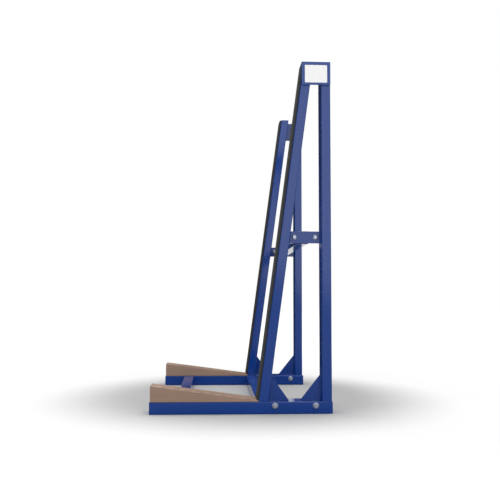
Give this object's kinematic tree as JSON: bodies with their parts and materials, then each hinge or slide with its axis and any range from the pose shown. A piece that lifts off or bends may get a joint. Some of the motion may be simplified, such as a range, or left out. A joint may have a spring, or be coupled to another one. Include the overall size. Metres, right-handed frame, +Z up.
{
  "type": "sheet goods rack",
  "caption": "Free-standing one-sided rack of painted steel tube: sheets stand on timber wedges and lean back against rubber-faced sloping rails.",
  "frame": {"origin": "centre of the box around the rack, on the floor", "axes": "+Z up, +X from the toe towards the uprights at the rear, Y along the rack"},
  "size_m": [0.75, 1.0704, 1.47],
  "materials": {
    "frame_paint": "glossy blue enamel over steel tube and plate",
    "strip_rubber": "dull black rubber",
    "wedge_timber": "planed bare softwood",
    "fastener_zinc": "bright zinc plate",
    "label_film": "blank white film"
  },
  "bodies": {
    "root": {"right_base_rail": "frame_paint", "right_rail_front_cap": "frame_paint", "right_rail_rear_cap": "frame_paint", "right_upright": "frame_paint", "right_upright_cap": "frame_paint", "right_leaning_rail": "frame_paint", "right_leaning_rail_cap": "frame_paint", "right_rubber_strip": "strip_rubber", "right_timber_wedge": "wedge_timber", "right_wedge_toe_screw": "fastener_zinc", "right_wedge_heel_screw": "fastener_zinc", "right_top_plate": "frame_paint", "right_middle_plate": "frame_paint", "right_spreader_end_plate": "frame_paint", "right_front_gusset": "frame_paint", "right_front_base_bolt": "fastener_zinc", "right_front_base_nut": "fastener_zinc", "right_front_spacer_sleeve": "fastener_zinc", "right_front_middle_bolt": "fastener_zinc", "right_front_middle_nut": "fastener_zinc", "right_rear_gusset": "frame_paint", "right_rear_base_bolt": "fastener_zinc", "right_rear_base_nut": "fastener_zinc", "right_rear_spacer_sleeve": "fastener_zinc", "right_rear_middle_bolt": "fastener_zinc", "right_rear_middle_nut": "fastener_zinc", "left_base_rail": "frame_paint", "left_rail_front_cap": "frame_paint", "left_rail_rear_cap": "frame_paint", "left_upright": "frame_paint", "left_upright_cap": "frame_paint", "left_leaning_rail": "frame_paint", "left_leaning_rail_cap": "frame_paint", "left_rubber_strip": "strip_rubber", "left_timber_wedge": "wedge_timber", "left_wedge_toe_screw": "fastener_zinc", "left_wedge_heel_screw": "fastener_zinc", "left_top_plate": "frame_paint", "left_middle_plate": "frame_paint", "left_spreader_end_plate": "frame_paint", "left_front_gusset": "frame_paint", "left_front_base_bolt": "fastener_zinc", "left_front_base_nut": "fastener_zinc", "left_front_spacer_sleeve": "fastener_zinc", "left_front_middle_bolt": "fastener_zinc", "left_front_middle_nut": "fastener_zinc", "left_rear_gusset": "frame_paint", "left_rear_base_bolt": "fastener_zinc", "left_rear_base_nut": "fastener_zinc", "left_rear_spacer_sleeve": "fastener_zinc", "left_rear_middle_bolt": "fastener_zinc", "left_rear_middle_nut": "fastener_zinc", "middle_spreader": "frame_paint", "front_cross_tube": "frame_paint", "rear_cross_tube": "frame_paint", "label": "label_film"}
  },
  "joints": []
}
